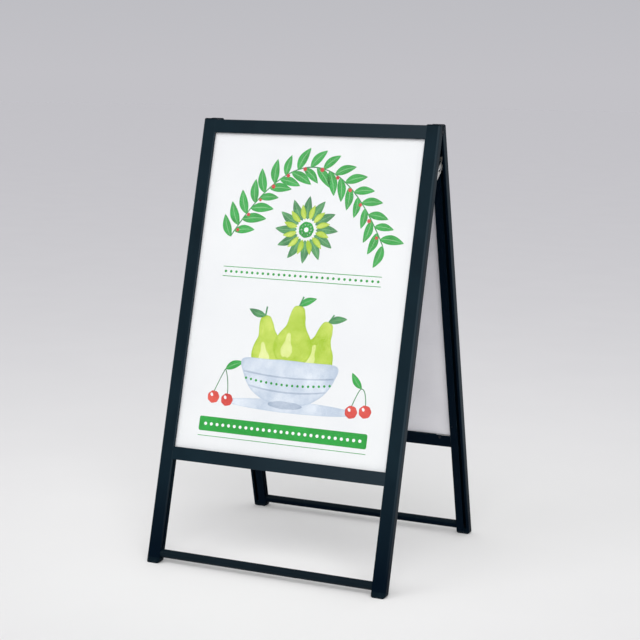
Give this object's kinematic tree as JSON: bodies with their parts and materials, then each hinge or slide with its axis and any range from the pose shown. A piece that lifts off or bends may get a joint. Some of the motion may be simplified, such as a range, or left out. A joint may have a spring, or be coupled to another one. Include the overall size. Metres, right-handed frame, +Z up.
{
  "type": "sandwich board",
  "caption": "Folding A-frame sandwich board: two black aluminium poster frames with clear-covered prints, hinged at the top and held open by slotted steel stays.",
  "frame": {"origin": "on the floor, under the middle of the open board", "axes": "+X to the right seen from the front, +Y to the back, +Z up"},
  "size_m": [0.64, 0.6266, 1.0919],
  "materials": {
    "frame_aluminium": "black anodised, satin",
    "rung_aluminium": "black anodised, satin",
    "plug_aluminium": "mill",
    "clear_sheet": "clear, low glare",
    "printed_paper": "matt print",
    "white_board": "matt white foamed board",
    "foot_plastic": "moulded black",
    "cap_plastic": "moulded black",
    "spacer_plastic": "moulded black",
    "bright_steel": "bright",
    "zinc_steel": "zinc plated",
    "screw_steel": "black oxide"
  },
  "bodies": {
    "front_frame": {"front_backing_board": "white_board", "front_cap_screws": "screw_steel", "front_corner_brackets": "zinc_steel", "front_corner_set_screws": "screw_steel", "front_cover_sheet": "clear_sheet", "front_foot_left": "foot_plastic", "front_foot_right": "foot_plastic", "front_hinge_cap_left": "cap_plastic", "front_hinge_cap_right": "cap_plastic", "front_mid_rail": "frame_aluminium", "front_poster": "printed_paper", "front_rail_screws": "screw_steel", "front_rung": "rung_aluminium", "front_rung_plugs": "plug_aluminium", "front_rung_screws": "screw_steel", "front_stay_brackets": "zinc_steel", "front_stay_pins": "bright_steel", "front_stay_rivets": "bright_steel", "front_stay_spacers": "spacer_plastic", "front_stile_left": "frame_aluminium", "front_stile_right": "frame_aluminium", "front_top_rail": "frame_aluminium"},
    "rear_frame": {"hinge_pin_left": "bright_steel", "hinge_pin_right": "bright_steel", "rear_backing_board": "white_board", "rear_cap_screws": "screw_steel", "rear_corner_brackets": "zinc_steel", "rear_corner_set_screws": "screw_steel", "rear_cover_sheet": "clear_sheet", "rear_foot_left": "foot_plastic", "rear_foot_right": "foot_plastic", "rear_hinge_cap_left": "cap_plastic", "rear_hinge_cap_right": "cap_plastic", "rear_mid_rail": "frame_aluminium", "rear_poster": "printed_paper", "rear_rail_screws": "screw_steel", "rear_rung": "rung_aluminium", "rear_rung_plugs": "plug_aluminium", "rear_rung_screws": "screw_steel", "rear_stay_brackets": "zinc_steel", "rear_stay_pins": "bright_steel", "rear_stay_rivets": "bright_steel", "rear_stay_spacers": "spacer_plastic", "rear_stile_left": "frame_aluminium", "rear_stile_right": "frame_aluminium", "rear_top_rail": "frame_aluminium"},
    "stay_left": {"stay_left": "zinc_steel"},
    "stay_right": {"stay_right": "zinc_steel"}
  },
  "joints": [
    {"name": "fold", "type": "hinge", "parent": "front_frame", "child": "rear_frame", "pos_m": [0, 0, 1.0735], "axis": [-1, 0, 0], "range_deg": [0, 30]},
    {"name": "stay_left_swing", "type": "hinge", "parent": "front_frame", "child": "stay_left", "pos_m": [-0.309, -0.04351, 0.93815], "axis": [1, 0, 0], "range_deg": [0, 22.14]},
    {"name": "stay_right_swing", "type": "hinge", "parent": "front_frame", "child": "stay_right", "pos_m": [0.309, -0.04351, 0.93815], "axis": [1, 0, 0], "range_deg": [0, 22.14]}
  ],
  "couplings": [
    {"joint": "stay_left_swing", "follows": "fold", "ratio": 0.73736},
    {"joint": "stay_right_swing", "follows": "fold", "ratio": 0.73736}
  ]
}
